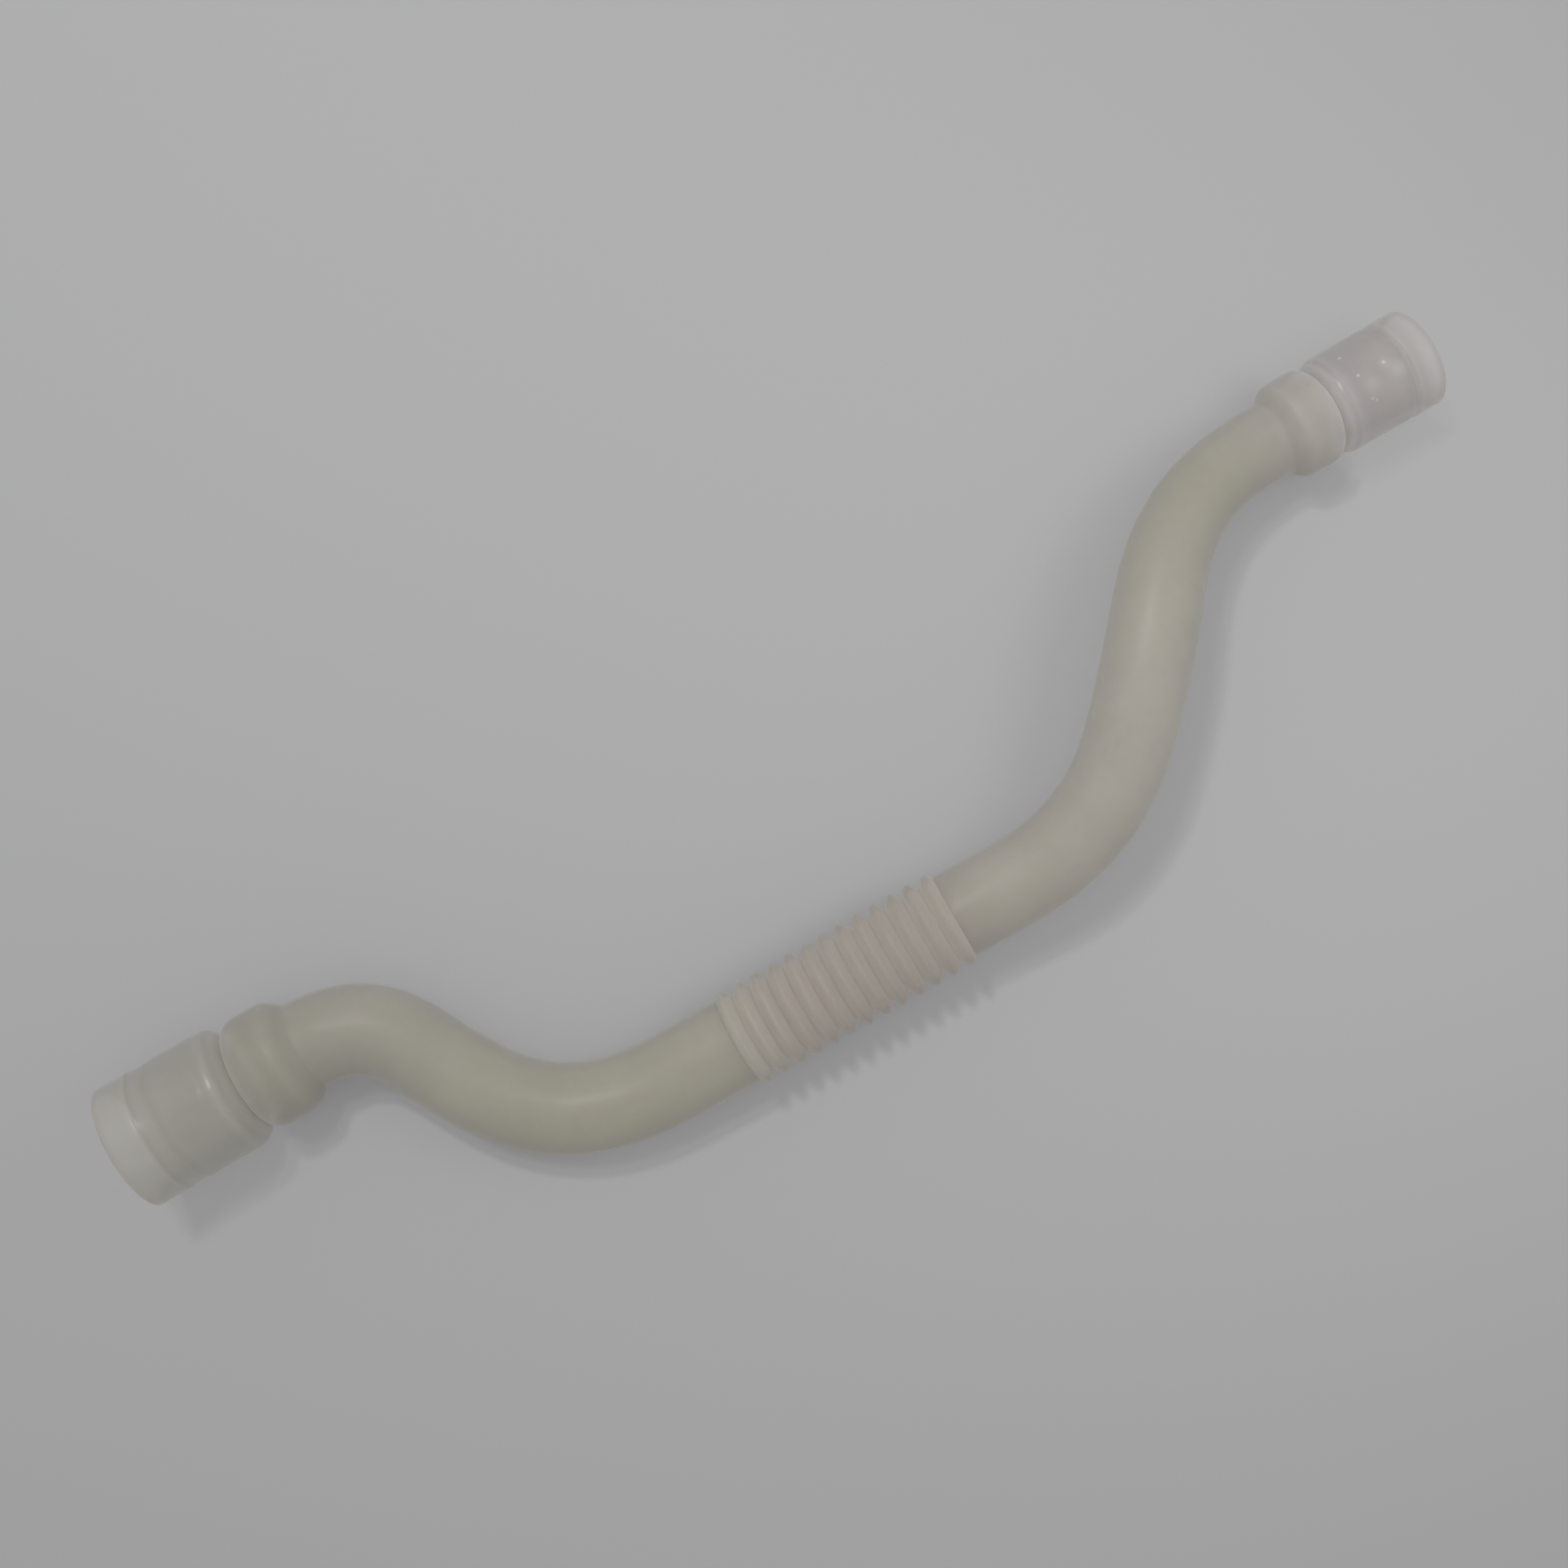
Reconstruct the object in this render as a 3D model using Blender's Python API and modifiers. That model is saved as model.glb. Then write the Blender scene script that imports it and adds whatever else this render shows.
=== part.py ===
"""Recirculation hose of a washing machine: one soft moulding with a cuff at each end.

The hose is a wall of revolution about a straight axis. Its outline is turned first, and the
straight piece is then laid along a route with two S-bends. The three straight runs of the
route are parallel to X, seen from above, and the hose lies as it rests on a table.

Metres, +Z up. The origin is under the middle of the hose, on the table.
"""
import math
from dataclasses import dataclass
from itertools import accumulate

import bpy
from mathutils import Vector

# Tube: past the bellows it is a little slimmer, and it narrows again before the small cuff
TUBE_OD = 0.0200
RISER_LESS = 0.0006
NECK_OD = 0.0169
TUBE_WALL = 0.0022
TAPER_LENGTH = 0.0400
NECK_LENGTH = 0.0141

# Fall from a cuff's bulge to the tube: above 1 it starts slowly
NECK_POWER = 1.6
NECK_SHARES = (0.4, 0.6, 0.8)

# Bellows: its crests stand over the tube's outside and its roots lie under it
CREST_HEIGHT = 0.0012
ROOT_DEPTH = 0.0008
CREST_PITCH = 0.00426
CREST_COUNT = 13
CREST_POWER = 1.3
BELLOWS_WALL = 0.0015
BELLOWS_INSET = 0.0132

# Route seen from above: straight runs, and bends that ease in and out
WIDE_RUN = 0.0404
FIRST_BEND = 0.0304
LINK_RUN = 0.0022
SECOND_BEND = 0.0612
MIDDLE_RUN = 0.0740
THIRD_BEND = 0.0558
RISER_RUN = 0.0182
FOURTH_BEND = 0.0506
SMALL_RUN = 0.0356
LOWER_TURN = math.radians(63.2)
UPPER_TURN = math.radians(48.5)

# Height law: slopes of the axis, and where it comes down to the table or stands clear of it
WIDE_SLOPE = math.radians(4.4)
BELLOWS_SLOPE = math.radians(2.2)
SMALL_SLOPE = math.radians(2.6)
LOW_SHARE = 0.66
BELLOWS_CLEARANCE = 0.00025
RISER_HEIGHT = 0.0245

# Mesh fineness
SIDES = 16
GUIDE_STEP = 0.003
TUBE_STEP = 0.0064
CREST_STEPS = 6
CREST_STEPS_INSIDE = 4
MERGE_DISTANCE = 0.00002

RISER_OD = TUBE_OD - RISER_LESS
CREST_RADIUS = TUBE_OD / 2 + CREST_HEIGHT
ROOT_RADIUS = TUBE_OD / 2 - ROOT_DEPTH
BELLOWS_LENGTH = (CREST_COUNT - 1) * CREST_PITCH


@dataclass
class Cuff:
    """One cuff: outside diameters, walls, and the lengths of its zones from the mouth in."""

    mouth_od: float
    seat_od: float
    body_od: float
    groove_od: float
    bulge_od: float
    wall: float
    mouth_wall: float
    edge: float
    band: float
    ramp: float
    seat: float
    body: float
    groove_fall: float
    groove_rise: float
    bulge: float
    neck_fall: float

    def stations(self):
        """Return the distances from the mouth at which the zones after the edge end."""
        zones = (self.band, self.ramp, self.seat, self.ramp, self.body,
                 self.groove_fall, self.groove_rise, self.bulge, self.neck_fall)
        return list(accumulate(zones))


WIDE_CUFF = Cuff(
    mouth_od=0.0286,
    seat_od=0.0280,
    body_od=0.0284,
    groove_od=0.0190,
    bulge_od=0.0263,
    wall=0.0023,
    mouth_wall=0.0015,
    edge=0.0003,
    band=0.0074,
    ramp=0.0006,
    seat=0.0038,
    body=0.0117,
    groove_fall=0.0043,
    groove_rise=0.0046,
    bulge=0.0038,
    neck_fall=0.0066,
)

SMALL_CUFF = Cuff(
    mouth_od=0.0226,
    seat_od=0.0217,
    body_od=0.0224,
    groove_od=0.0168,
    bulge_od=0.0222,
    wall=0.0021,
    mouth_wall=0.0014,
    edge=0.0003,
    band=0.0058,
    ramp=0.0006,
    seat=0.0010,
    body=0.0126,
    groove_fall=0.0034,
    groove_rise=0.0030,
    bulge=0.0040,
    neck_fall=0.0054,
)


def clear_scene():
    """Remove every object that the file holds."""
    for thing in list(bpy.data.objects):
        bpy.data.objects.remove(thing, do_unlink=True)


def make_collection(name):
    """Return a new collection linked to the scene."""
    collection = bpy.data.collections.new(name)
    bpy.context.scene.collection.children.link(collection)
    return collection


def quarter_round(start, end, leaves_flat):
    """Return the inner points of a quarter ellipse between two (distance, radius) points.

    leaves_flat says that the curve starts along the axis and ends across it.
    """
    points = []
    for angle in (math.radians(30), math.radians(60)):
        if leaves_flat:
            along, across = math.sin(angle), 1 - math.cos(angle)
        else:
            along, across = 1 - math.cos(angle), math.sin(angle)
        points.append((start[0] + (end[0] - start[0]) * along, start[1] + (end[1] - start[1]) * across))
    return points


def late_fall(start, end):
    """Return the inner points of a fall that starts slowly and settles along the axis.

    The fall is the smooth step of t^NECK_POWER between two (distance, radius) points.
    """
    points = []
    for share in NECK_SHARES:
        fall = ease(share ** NECK_POWER)
        points.append((start[0] + (end[0] - start[0]) * share, start[1] + (end[1] - start[1]) * fall))
    return points


def cuff_outside(cuff, tube_od):
    """Return a cuff's outer outline from its mouth to its neck, as (distance, radius)."""
    mouth, seat, body = cuff.mouth_od / 2, cuff.seat_od / 2, cuff.body_od / 2
    groove, bulge = cuff.groove_od / 2, cuff.bulge_od / 2
    band_end, seat_start, seat_end, body_start, *ends = cuff.stations()
    body_end, groove_at, bulge_start, bulge_end, neck = ends
    outline = [
        (0.0, mouth - cuff.edge),
        (cuff.edge, mouth),
        (band_end, mouth),
        (seat_start, seat),
        (seat_end, seat),
        (body_start, body),
        (body_end, body),
    ]
    outline += quarter_round(outline[-1], (groove_at, groove), True)
    outline.append((groove_at, groove))
    outline += quarter_round(outline[-1], (bulge_start, bulge), False)
    outline += [(bulge_start, bulge), (bulge_end, bulge)]
    outline += late_fall(outline[-1], (neck, tube_od / 2))
    outline.append((neck, tube_od / 2))
    return outline


def cuff_inside(cuff, tube_od):
    """Return a cuff's bore from its mouth to its neck, as (distance, radius)."""
    bore = cuff.body_od / 2 - cuff.wall
    groove = cuff.groove_od / 2 - cuff.wall
    bulge = cuff.bulge_od / 2 - cuff.wall
    _, seat_start, _, _, body_end, groove_at, bulge_start, bulge_end, neck = cuff.stations()
    return [
        (0.0, cuff.mouth_od / 2 - cuff.mouth_wall),
        (seat_start, bore),
        (body_end - cuff.wall / 2, bore),
        ((body_end + groove_at) / 2, (bore + groove) / 2),
        (groove_at, groove),
        (bulge_start, bulge),
        (bulge_end, bulge),
        (neck, tube_od / 2 - TUBE_WALL),
    ]


def crest_radius(share):
    """Return the bellows' radius at a share of the pitch, from -0.5 to 0.5, about a crest."""
    return ROOT_RADIUS + (CREST_RADIUS - ROOT_RADIUS) * math.cos(math.pi * share) ** CREST_POWER


def flank_reach(tube_od):
    """Return how far from an end crest's middle its flank comes down to the tube."""
    height = (tube_od / 2 - ROOT_RADIUS) / (CREST_RADIUS - ROOT_RADIUS)
    return CREST_PITCH * math.acos(height ** (1 / CREST_POWER)) / math.pi


def bellows_line(first_crest, steps, tube_inset, bellows_inset):
    """Return the bellows from one end's flank to the other's, as (distance, radius)."""
    line = [(first_crest - flank_reach(TUBE_OD), TUBE_OD / 2 - tube_inset)]
    for index in range((CREST_COUNT - 1) * steps + 1):
        share = (index / steps + 0.5) % 1.0 - 0.5
        line.append((first_crest + index * CREST_PITCH / steps, crest_radius(share) - bellows_inset))
    line.append((first_crest + BELLOWS_LENGTH + flank_reach(RISER_OD), RISER_OD / 2 - tube_inset))
    return line


def plain_tube(start, end, radius):
    """Return the points of a plain tube between two stations, without its ends."""
    count = max(2, round((end - start) / TUBE_STEP))
    return [(start + (end - start) * index / count, radius) for index in range(1, count)]


def ease(share):
    """Return the smooth step 3t^2 - 2t^3 of a share between 0 and 1."""
    return share * share * (3 - 2 * share)


def tapered_neck(start, end, radius_at_start, radius_at_end):
    """Return the points of the eased taper between two stations, both ends included."""
    count = max(3, round((end - start) / TUBE_STEP))
    points = []
    for index in range(count + 1):
        share = index / count
        points.append((start + (end - start) * share,
                       radius_at_start + (radius_at_end - radius_at_start) * ease(share)))
    return points


def mirrored(points, length):
    """Return an outline measured from the far mouth as one measured from the near mouth."""
    return [(length - distance, radius) for distance, radius in reversed(points)]


def wall_line(length, first_crest, inside):
    """Return the whole outer or inner line of the wall, from the wide mouth to the small one."""
    cuff_line = cuff_inside if inside else cuff_outside
    tube_inset = TUBE_WALL if inside else 0.0
    bellows_inset = BELLOWS_WALL if inside else 0.0
    steps = CREST_STEPS_INSIDE if inside else CREST_STEPS
    tube, riser, neck = (od / 2 - tube_inset for od in (TUBE_OD, RISER_OD, NECK_OD))
    near = cuff_line(WIDE_CUFF, TUBE_OD)
    bellows = bellows_line(first_crest, steps, tube_inset, bellows_inset)
    far = mirrored(cuff_line(SMALL_CUFF, NECK_OD), length)
    taper_end = far[0][0] - NECK_LENGTH
    taper = tapered_neck(taper_end - TAPER_LENGTH, taper_end, riser, neck)
    line = near + plain_tube(near[-1][0], bellows[0][0], tube)
    line += bellows + plain_tube(bellows[-1][0], taper[0][0], riser)
    line += taper + plain_tube(taper[-1][0], far[0][0], neck)
    return line + far


def plan_runs():
    """Return the route's runs as (length, turn), from the wide mouth on."""
    return (
        (WIDE_RUN, 0.0),
        (FIRST_BEND, -LOWER_TURN),
        (LINK_RUN, 0.0),
        (SECOND_BEND, LOWER_TURN),
        (MIDDLE_RUN, 0.0),
        (THIRD_BEND, UPPER_TURN),
        (RISER_RUN, 0.0),
        (FOURTH_BEND, -UPPER_TURN),
        (SMALL_RUN, 0.0),
    )


def heading_at(distance):
    """Return the route's heading at a plan distance from the wide mouth."""
    heading, start = 0.0, 0.0
    for length, turn in plan_runs():
        share = min(max((distance - start) / length, 0.0), 1.0)
        heading += turn * ease(share)
        start += length
    return heading


def bellows_start():
    """Return the plan distance from the wide mouth to the first crest."""
    return WIDE_RUN + FIRST_BEND + LINK_RUN + SECOND_BEND + BELLOWS_INSET


def height_stations():
    """Return (plan distance, axis height, slope) where the height law is set.

    The wide cuff's shoulder, the second bend and the small mouth's rim touch the table.
    """
    falling, rising, settling = -math.tan(WIDE_SLOPE), math.tan(BELLOWS_SLOPE), -math.tan(SMALL_SLOPE)
    shoulder = WIDE_CUFF.stations()[4]
    wide_mouth = WIDE_CUFF.body_od / 2 * math.cos(WIDE_SLOPE) + shoulder * math.sin(WIDE_SLOPE)
    second_bend = WIDE_RUN + FIRST_BEND + LINK_RUN
    riser = second_bend + SECOND_BEND + MIDDLE_RUN + THIRD_BEND
    small_start = riser + RISER_RUN + FOURTH_BEND
    small_mouth = SMALL_CUFF.mouth_od / 2 * math.cos(SMALL_SLOPE)
    crest_height = CREST_RADIUS + BELLOWS_CLEARANCE
    return (
        (0.0, wide_mouth, falling),
        (WIDE_RUN, wide_mouth + WIDE_RUN * falling, falling),
        (second_bend + SECOND_BEND * LOW_SHARE, TUBE_OD / 2, 0.0),
        (bellows_start(), crest_height, rising),
        (bellows_start() + BELLOWS_LENGTH, crest_height + BELLOWS_LENGTH * rising, rising),
        (riser + RISER_RUN / 2, RISER_HEIGHT, 0.0),
        (small_start, small_mouth - SMALL_RUN * settling, settling),
        (small_start + SMALL_RUN, small_mouth, settling),
    )


def height_at(distance):
    """Return the axis height at a plan distance, by cubic pieces between the stations."""
    stations = height_stations()
    for (near, low, slope_low), (far, high, slope_high) in zip(stations, stations[1:]):
        if distance <= far or far == stations[-1][0]:
            span = far - near
            share = min(max((distance - near) / span, 0.0), 1.0)
            square, cube = share ** 2, share ** 3
            return ((2 * cube - 3 * square + 1) * low
                    + (cube - 2 * square + share) * slope_low * span
                    + (3 * square - 2 * cube) * high
                    + (cube - square) * slope_high * span)


def route_points():
    """Return the points of the hose's axis from the wide mouth to the small one."""
    plan_length = sum(length for length, _ in plan_runs())
    count = round(plan_length / GUIDE_STEP)
    step = plan_length / count
    x, y = 0.0, 0.0
    points = [Vector((x, y, height_at(0.0)))]
    for index in range(count):
        heading = heading_at((index + 0.5) * step)
        x += step * math.cos(heading)
        y += step * math.sin(heading)
        points.append(Vector((x, y, height_at((index + 1) * step))))
    return points


def make_guide(points, collection):
    """Return the guide curve through the axis points, which isn't part of the hose."""
    curve = bpy.data.curves.new("hose_guide", "CURVE")
    curve.dimensions = "3D"
    curve.twist_mode = "Z_UP"
    spline = curve.splines.new("POLY")
    spline.points.add(len(points) - 1)
    for target, point in zip(spline.points, points):
        target.co = (*point, 1.0)
    guide = bpy.data.objects.new("hose_guide", curve)
    guide.hide_render = True
    guide.display_type = "WIRE"
    collection.objects.link(guide)
    return guide


def distance_along(points, plan_distance):
    """Return the length along the axis up to a plan distance, from points evenly spaced in plan."""
    plan_length = sum(length for length, _ in plan_runs())
    reach = plan_distance / plan_length * (len(points) - 1)
    distance = 0.0
    for index, (before, after) in enumerate(zip(points, points[1:])):
        distance += (after - before).length * min(max(reach - index, 0.0), 1.0)
    return distance


def make_wall(length, first_crest, collection):
    """Return the straight hose, turned about Z from the closed outline of its wall."""
    down_outside = list(reversed(wall_line(length, first_crest, False)))
    outline = down_outside + wall_line(length, first_crest, True)
    vertices = [(radius, 0.0, distance) for distance, radius in outline]
    edges = [(index, (index + 1) % len(outline)) for index in range(len(outline))]
    mesh = bpy.data.meshes.new("hose_body")
    mesh.from_pydata(vertices, edges, [])
    hose = bpy.data.objects.new("hose_body", mesh)
    collection.objects.link(hose)
    turn = hose.modifiers.new("turned_wall", "SCREW")
    turn.axis = "Z"
    turn.angle = math.tau
    turn.steps = SIDES
    turn.render_steps = SIDES
    turn.use_merge_vertices = True
    turn.merge_threshold = MERGE_DISTANCE
    turn.use_smooth_shade = True
    return hose


def lay_along(hose, guide):
    """Bend the straight hose along the guide."""
    bend = hose.modifiers.new("laid_along_route", "CURVE")
    bend.object = guide
    bend.deform_axis = "POS_Z"


def centre_on_table(hose, guide):
    """Move the hose and its guide so that the origin is under the middle of the hose."""
    bpy.context.view_layer.update()
    bent = hose.evaluated_get(bpy.context.evaluated_depsgraph_get())
    corners = [vertex.co for vertex in bent.data.vertices]
    low = [min(corner[axis] for corner in corners) for axis in range(3)]
    high = [max(corner[axis] for corner in corners) for axis in range(3)]
    shift = Vector((-(low[0] + high[0]) / 2, -(low[1] + high[1]) / 2, -low[2]))
    hose.location = shift
    guide.location = shift


def milky_elastomer():
    """Return the material of the moulding: a soft, milky, slightly yellowed elastomer."""
    material = bpy.data.materials.new("milky_elastomer")
    material.use_nodes = True
    shader = material.node_tree.nodes["Principled BSDF"]
    shader.inputs["Base Color"].default_value = (0.40, 0.38, 0.31, 1.0)
    shader.inputs["Roughness"].default_value = 0.42
    shader.inputs["Metallic"].default_value = 0.0
    shader.inputs["Alpha"].default_value = 0.75
    material.diffuse_color = (0.40, 0.38, 0.31, 0.75)
    return material


def main():
    """Build the hose."""
    clear_scene()
    parts = make_collection("recirculation_hose")
    guides = make_collection("guides")
    points = route_points()
    length = distance_along(points, sum(run for run, _ in plan_runs()))
    guide = make_guide(points, guides)
    hose = make_wall(length, distance_along(points, bellows_start()), parts)
    lay_along(hose, guide)
    hose.data.materials.append(milky_elastomer())
    centre_on_table(hose, guide)


main()
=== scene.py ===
"""Recirculation hose of a washing machine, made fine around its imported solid.

The hose is one soft moulding: a wide cuff, a tube with an S-bend, a bellows, a second S-bend
that rises off the table, a tapered neck and a small cuff. Its wall is a closed outline in
(distance, radius), carried along the hose's axis. Metres, +Z up, in the solid's own frame.
"""
from __future__ import annotations

import logging
import math
from dataclasses import dataclass
from enum import Enum

import bpy
import numpy as np
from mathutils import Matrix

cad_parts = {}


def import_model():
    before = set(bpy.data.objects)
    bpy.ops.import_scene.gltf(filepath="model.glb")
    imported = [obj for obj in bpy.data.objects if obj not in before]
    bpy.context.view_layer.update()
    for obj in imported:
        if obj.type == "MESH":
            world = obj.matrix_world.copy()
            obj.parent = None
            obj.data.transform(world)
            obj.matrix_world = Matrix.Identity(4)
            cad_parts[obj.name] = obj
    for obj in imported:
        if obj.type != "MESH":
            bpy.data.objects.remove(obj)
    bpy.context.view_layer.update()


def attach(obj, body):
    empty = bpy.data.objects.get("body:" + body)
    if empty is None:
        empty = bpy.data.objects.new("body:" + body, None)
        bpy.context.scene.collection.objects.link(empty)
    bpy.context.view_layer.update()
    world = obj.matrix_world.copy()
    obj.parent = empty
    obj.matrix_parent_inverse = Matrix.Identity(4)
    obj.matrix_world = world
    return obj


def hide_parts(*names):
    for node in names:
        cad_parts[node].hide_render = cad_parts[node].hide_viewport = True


LOG = logging.getLogger("recirculation_hose")
BODY = "root"
NODE = "hose_body"
MILLIMETRE = 0.001
NODE_SPACING = 220

# Fall from a cuff's bulge to the tube: above 1 it starts slowly
NECK_POWER = 1.6

Colour = tuple[float, float, float]
Place = tuple[float, float, float]
# Colour of the specks and of the painted highlights on the small cuff.
SPECK_AND_HIGHLIGHT_COLOUR: Colour = (0.85, 0.83, 0.80)


def ease(share: np.ndarray) -> np.ndarray:
    """Return the smooth step 3t^2 - 2t^3 of a share, held between 0 and 1.

    Args:
        share: Any array of shares.

    Returns:
        The eased shares, of the same shape.
    """
    held = np.clip(share, 0.0, 1.0)
    return held * held * (3.0 - 2.0 * held)


class Flank(Enum):
    """How the wall's radius goes from one end of a zone to the other."""

    EVEN = "even"
    EASED = "eased"
    LATE = "late"
    FALLING = "falling"

    def blend(self, share: np.ndarray) -> np.ndarray:
        """Return how far the radius has gone at shares of the zone's length, from 0 to 1.

        EVEN is a straight line, EASED a smooth step, and LATE a smooth step of t^NECK_POWER,
        which starts slowly. FALLING is the quarter of an ellipse that leaves along the axis,
        1 - sqrt(1 - t^2).

        Args:
            share: Shares t of the length, from 0 to 1.

        Returns:
            The share of the radius's change at each.
        """
        if self is Flank.EASED:
            return ease(share)
        if self is Flank.LATE:
            return ease(share ** NECK_POWER)
        if self is Flank.FALLING:
            return 1.0 - np.sqrt(np.clip(1.0 - share ** 2, 0.0, 1.0))
        return share


@dataclass(frozen=True)
class Zone:
    """A stretch of the wall's line, from one (distance, radius) to the next."""

    length: float
    radius: float
    flank: Flank = Flank.EVEN
    backwards: bool = False

    def radii(self, share: np.ndarray, start_radius: float) -> np.ndarray:
        """Return the radius at shares of the zone's length.

        A backwards flank is walked from its far end: 1 - blend(1 - t).

        Args:
            share: Shares of the length, from 0 to 1.
            start_radius: Radius where the zone starts.

        Returns:
            One radius for each share.
        """
        blend = 1.0 - self.flank.blend(1.0 - share) if self.backwards else self.flank.blend(share)
        return start_radius + (self.radius - start_radius) * blend


@dataclass(frozen=True)
class WallLine:
    """One side of the wall: a start radius and the zones that follow it."""

    start_radius: float
    zones: tuple[Zone, ...]

    @property
    def length(self) -> float:
        """Return the length of all the zones together."""
        return sum(zone.length for zone in self.zones)

    def mirrored(self) -> WallLine:
        """Return the same line walked from its far end.

        Returns:
            A line whose zones come in reverse, each with its flank the other way round.
        """
        radii = [self.start_radius] + [zone.radius for zone in self.zones]
        zones = tuple(
            Zone(zone.length, start, zone.flank, not zone.backwards)
            for zone, start in zip(reversed(self.zones), reversed(radii[:-1]))
        )
        return WallLine(radii[-1], zones)

    def radii(self, distances: np.ndarray) -> np.ndarray:
        """Return the radius at each distance from the line's start.

        Args:
            distances: Distances from the start, in metres.

        Returns:
            The radii; outside the line they stay at its first or last radius.
        """
        out = np.full(distances.shape, self.start_radius)
        start, radius = 0.0, self.start_radius
        for zone in self.zones:
            past = distances >= start
            share = np.clip((distances[past] - start) / max(zone.length, 1e-9), 0.0, 1.0)
            out[past] = zone.radii(share, radius)
            start += zone.length
            radius = zone.radius
        return out


@dataclass(frozen=True)
class Cuff:
    """A clamp cuff: outside diameters, walls, and the lengths of its zones from the mouth in.

    Its painted shade rings and painted highlight rings are pairs of a distance from the mouth and a share
    of the ring's tint.
    """

    mouth_od: float
    seat_od: float
    body_od: float
    groove_od: float
    bulge_od: float
    wall: float
    mouth_wall: float
    band: float
    ramp: float
    seat: float
    body: float
    groove_fall: float
    groove_rise: float
    bulge: float
    neck_fall: float
    stop_depth: float
    stop_height: float
    # Painted shade: dark lines at the cuff's steps.
    painted_shade_rings: tuple[tuple[float, float], ...]
    # Painted highlight: pale lines on the cuff that add to the painted light.
    painted_highlight_rings: tuple[tuple[float, float], ...]
    lead_share: float = 0.3

    def outside(self, tube_radius: float) -> WallLine:
        """Return the outer line from the mouth to the tube.

        Args:
            tube_radius: Outer radius of the tube that the neck comes down to.

        Returns:
            The line: band, seat, body, groove, bulge and neck.
        """
        return WallLine(self.mouth_od / 2, (
            Zone(self.band, self.mouth_od / 2),
            Zone(self.ramp, self.seat_od / 2, Flank.EASED),
            Zone(self.seat, self.seat_od / 2),
            Zone(self.ramp, self.body_od / 2, Flank.EASED),
            Zone(self.body, self.body_od / 2),
            Zone(self.groove_fall, self.groove_od / 2, Flank.FALLING),
            Zone(self.groove_rise, self.bulge_od / 2, Flank.FALLING, backwards=True),
            Zone(self.bulge, self.bulge_od / 2),
            Zone(self.neck_fall, tube_radius, Flank.LATE),
        ))

    def inside(self, tube_bore: float) -> WallLine:
        """Return the bore's line from the mouth to the tube's bore.

        The lead-in narrows by a share of what the wall gains on the mouth. A low shoulder
        inside stops the spigot that the cuff is pushed onto.

        Args:
            tube_bore: Inner radius of the tube.

        Returns:
            The line: lead-in, bore, shoulder, groove, bulge and neck.
        """
        bore = self.body_od / 2 - self.wall
        lead = self.band + self.ramp
        straight = lead + self.seat + self.ramp + self.body
        return WallLine(self.mouth_od / 2 - self.mouth_wall, (
            Zone(lead, bore + self.lead_share * (self.wall - self.mouth_wall)),
            Zone(self.ramp, bore, Flank.EASED),
            Zone(self.stop_depth - lead - self.ramp, bore),
            Zone(self.ramp, bore - self.stop_height, Flank.EASED),
            Zone(straight - self.stop_depth - self.ramp, bore - self.stop_height),
            Zone(self.groove_fall, self.groove_od / 2 - self.wall, Flank.EASED),
            Zone(self.groove_rise, self.bulge_od / 2 - self.wall, Flank.EASED),
            Zone(self.bulge, self.bulge_od / 2 - self.wall),
            Zone(self.neck_fall, tube_bore, Flank.EASED),
        ))

    @property
    def groove_at(self) -> float:
        """Return the distance from the mouth to the bottom of the groove."""
        return self.band + 2 * self.ramp + self.seat + self.body + self.groove_fall

    @property
    def neck_at(self) -> float:
        """Return the distance from the mouth to where the bulge has come down to the tube."""
        return self.groove_at + self.groove_rise + self.bulge + self.neck_fall


@dataclass(frozen=True)
class Bellows:
    """The row of crests: over the tube's outside by one height, under it by one depth."""

    crest_height: float = 0.0012
    root_depth: float = 0.0008
    pitch: float = 0.00426
    count: int = 13
    power: float = 1.3
    wall: float = 0.0015
    inset: float = 0.0132

    @property
    def length(self) -> float:
        """Return the distance from the first crest to the last."""
        return (self.count - 1) * self.pitch

    @property
    def height(self) -> float:
        """Return the height from the roots to the crests."""
        return self.crest_height + self.root_depth

    def radii(self, distances: np.ndarray, tube_radius: float) -> np.ndarray:
        """Return the crests' radius at distances from the first crest.

        Within each pitch the radius is root + height |cos(pi t)|^power, where t is the share
        of the pitch from the crest.

        Args:
            distances: Distances from the first crest, in metres.
            tube_radius: Outer radius of the tube that the crests stand on.

        Returns:
            The outer radii of the crests and roots.
        """
        root = tube_radius - self.root_depth
        return root + self.height * np.abs(np.cos(math.pi * distances / self.pitch)) ** self.power

    def reach(self, less: float) -> float:
        """Return how far from an end crest's middle it comes down to a tube that much slimmer."""
        share = (self.root_depth - less) / self.height
        return self.pitch * math.acos(share ** (1 / self.power)) / math.pi


@dataclass(frozen=True)
class Axis:
    """The hose's axis as fine arrays: distance along it, place, heading and slope."""

    distance: np.ndarray
    place: np.ndarray
    heading: np.ndarray
    slope: np.ndarray

    @property
    def length(self) -> float:
        """Return the length of the axis."""
        return float(self.distance[-1])

    def frames(self, distances: np.ndarray) -> tuple[np.ndarray, np.ndarray, np.ndarray]:
        """Return places, sideways vectors and upward vectors at distances along the axis.

        Sideways is level, (-sin h, cos h, 0) for the heading h. Upward is square to it and to
        the axis, (-cos h sin p, -sin h sin p, cos p) for the slope p.

        Args:
            distances: Distances along the axis, in metres.

        Returns:
            Three arrays of shape (n, 3).
        """
        columns = [np.interp(distances, self.distance, column) for column in self.place.T]
        heading = np.interp(distances, self.distance, self.heading)
        slope = np.interp(distances, self.distance, self.slope)
        level = np.zeros_like(heading)
        sideways = np.stack([-np.sin(heading), np.cos(heading), level], axis=1)
        upward = np.stack([
            -np.cos(heading) * np.sin(slope),
            -np.sin(heading) * np.sin(slope),
            np.cos(slope),
        ], axis=1)
        return np.stack(columns, axis=1), sideways, upward


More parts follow.
